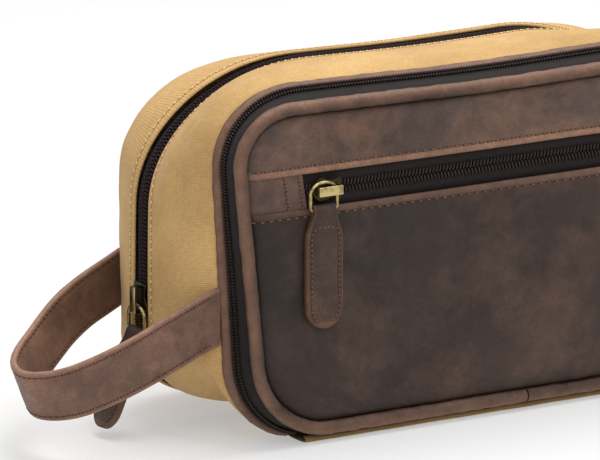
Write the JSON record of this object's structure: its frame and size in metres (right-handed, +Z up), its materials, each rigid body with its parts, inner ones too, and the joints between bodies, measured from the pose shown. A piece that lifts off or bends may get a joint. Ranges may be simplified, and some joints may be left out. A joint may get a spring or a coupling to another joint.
{
  "type": "toiletry bag",
  "caption": "Boxy canvas toiletry bag with leather trim, a zipped main compartment, a zipped leather-faced front compartment with a zipped pocket, and a strap loop at one end.",
  "frame": {"origin": "on the flat base, under the middle of the body, at the level the bag stands on", "axes": "+X along the bag away from its strap loop, -Y towards the leather front, +Z up"},
  "size_m": [0.3465, 0.1167, 0.1589],
  "materials": {
    "canvas": "tan waxed cotton canvas",
    "lining": "plain woven lining",
    "board": "stiffener board",
    "panel_leather": "dark brown distressed pull-up leather",
    "trim_leather": "brown pull-up leather, lighter at the edges",
    "tape": "black zip tape",
    "coil": "black nylon coil",
    "brass": "antique brass"
  },
  "bodies": {
    "body": {"front_gusset": "canvas", "tub": "canvas", "divider": "lining", "outer_piping": "trim_leather", "hinge_strip": "canvas", "main_tape_front": "tape", "main_coil_front": "coil", "front_tape_body": "tape", "front_coil_body": "coil"},
    "flap": {"rear_flap": "canvas", "main_tape_rear": "tape", "main_coil_rear": "coil"},
    "cover": {"cover_piping": "trim_leather", "upper_panel": "panel_leather", "lower_panel": "panel_leather", "window_end_left": "panel_leather", "window_end_right": "panel_leather", "cover_board": "board", "pocket_lining": "lining", "pocket_tape_upper": "tape", "pocket_tape_lower": "tape", "pocket_coil_upper": "coil", "pocket_coil_lower": "coil", "front_tape_cover": "tape", "front_coil_cover": "coil"},
    "handle": {"strap": "trim_leather"},
    "main_slider": {"main_slider": "brass"},
    "main_ring": {"main_ring": "brass"},
    "main_tab": {"main_tab": "trim_leather"},
    "front_slider": {"front_slider": "brass"},
    "front_ring": {"front_ring": "brass"},
    "front_tab": {"front_tab": "trim_leather"},
    "pocket_slider": {"pocket_slider": "brass"},
    "pocket_ring": {"pocket_ring": "brass"},
    "pocket_tab": {"pocket_tab": "trim_leather"}
  },
  "joints": [
    {"name": "flap_fold", "type": "hinge", "parent": "body", "child": "flap", "pos_m": [0, 0.002, 0.048], "axis": [-1, 0, 0], "range_deg": [0, 20]},
    {"name": "cover_hinge", "type": "hinge", "parent": "body", "child": "cover", "pos_m": [0, -0.0535, 0.0055], "axis": [1, 0, 0], "range_deg": [0, 85]},
    {"name": "handle_swing", "type": "hinge", "parent": "body", "child": "handle", "pos_m": [-0.142, 0, 0.0515], "axis": [0, 1, 0], "range_deg": [-6, 85]},
    {"name": "main_zip_slide", "type": "slide", "parent": "body", "child": "main_slider", "axis": [0, 0, 1], "range_m": [0, 0.045]},
    {"name": "main_ring_swing", "type": "hinge", "parent": "main_slider", "child": "main_ring", "pos_m": [-0.14185, 0.002, 0.0564], "axis": [0, 1, 0], "range_deg": [0, 100]},
    {"name": "main_tab_swing", "type": "hinge", "parent": "main_ring", "child": "main_tab", "pos_m": [-0.14185, 0.002, 0.0445], "axis": [0, 1, 0], "range_deg": [-24, 55]},
    {"name": "front_zip_slide", "type": "slide", "parent": "body", "child": "front_slider", "axis": [0, 0, 1], "range_m": [0, 0.048]},
    {"name": "front_ring_swing", "type": "hinge", "parent": "front_slider", "child": "front_ring", "pos_m": [0.129, -0.0474, 0.0644], "axis": [0, -1, 0], "range_deg": [0, 100]},
    {"name": "front_tab_swing", "type": "hinge", "parent": "front_ring", "child": "front_tab", "pos_m": [0.129, -0.0474, 0.0525], "axis": [0, -1, 0], "range_deg": [-1, 78]},
    {"name": "pocket_zip_slide", "type": "slide", "parent": "cover", "child": "pocket_slider", "axis": [1, 0, 0], "range_m": [0, 0.165]},
    {"name": "pocket_ring_tilt", "type": "hinge", "parent": "pocket_slider", "child": "pocket_ring", "pos_m": [-0.083, -0.0602, 0.1123], "axis": [-1, 0, 0], "range_deg": [0, 7]},
    {"name": "pocket_tab_swing", "type": "hinge", "parent": "pocket_ring", "child": "pocket_tab", "pos_m": [-0.0857, -0.0602, 0.1042], "axis": [-1, 0, 0], "range_deg": [0, 110]}
  ]
}
